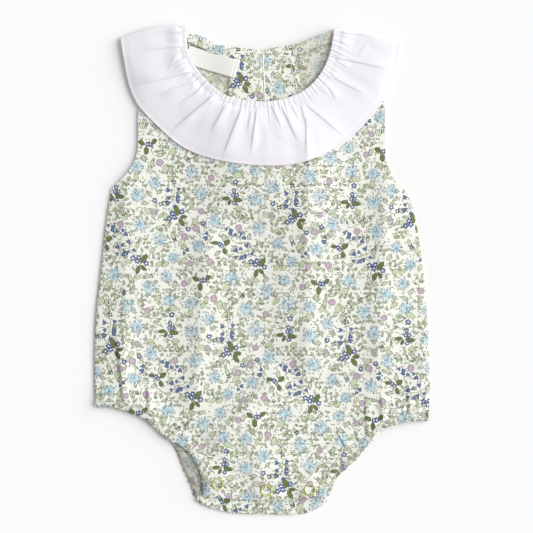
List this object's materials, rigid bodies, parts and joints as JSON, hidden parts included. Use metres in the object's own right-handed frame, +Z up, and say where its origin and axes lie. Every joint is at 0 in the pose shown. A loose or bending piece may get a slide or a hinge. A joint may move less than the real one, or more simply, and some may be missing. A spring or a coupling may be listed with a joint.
{
  "type": "baby bodysuit",
  "caption": "Sleeveless baby bubble romper in a small floral print with a white gathered collar ruffle, elasticated leg hems and crotch snaps, laid flat on its back.",
  "frame": {"origin": "under the middle of the laid-out garment, on the surface that it lies on", "axes": "+X to the right of the garment as seen from above (its wearer's left), +Y to the neck, +Z up, out of its front"},
  "size_m": [0.279, 0.4069, 0.0106],
  "materials": {
    "printed_cotton": "plain-woven cotton, small floral print on off-white",
    "white_cotton": "plain-woven white cotton, matt",
    "woven_label": "woven satin tape, cream, bare",
    "snap_lacquer": "pale lime lacquer, semi-gloss",
    "button_resin": "off-white resin, semi-gloss"
  },
  "bodies": {
    "root": {"front_panel": "printed_cotton", "back_left": "printed_cotton", "back_right": "printed_cotton", "back_crotch_band": "printed_cotton", "placket_facing_left": "printed_cotton", "placket_facing_right": "printed_cotton", "neck_binding_left": "printed_cotton", "neck_binding_right": "printed_cotton", "leg_casing_front_left": "printed_cotton", "leg_casing_front_right": "printed_cotton", "leg_casing_back_left": "printed_cotton", "leg_casing_back_right": "printed_cotton", "neck_casing": "white_cotton", "ruffle_front": "white_cotton", "ruffle_back_left": "white_cotton", "ruffle_back_right": "white_cotton", "neck_label": "woven_label", "snap_ring_1": "snap_lacquer", "snap_ring_2": "snap_lacquer", "snap_ring_3": "snap_lacquer", "snap_stud_1": "snap_lacquer", "snap_stud_2": "snap_lacquer", "snap_stud_3": "snap_lacquer", "back_button_1": "button_resin", "back_button_2": "button_resin", "back_button_3": "button_resin"}
  },
  "joints": []
}
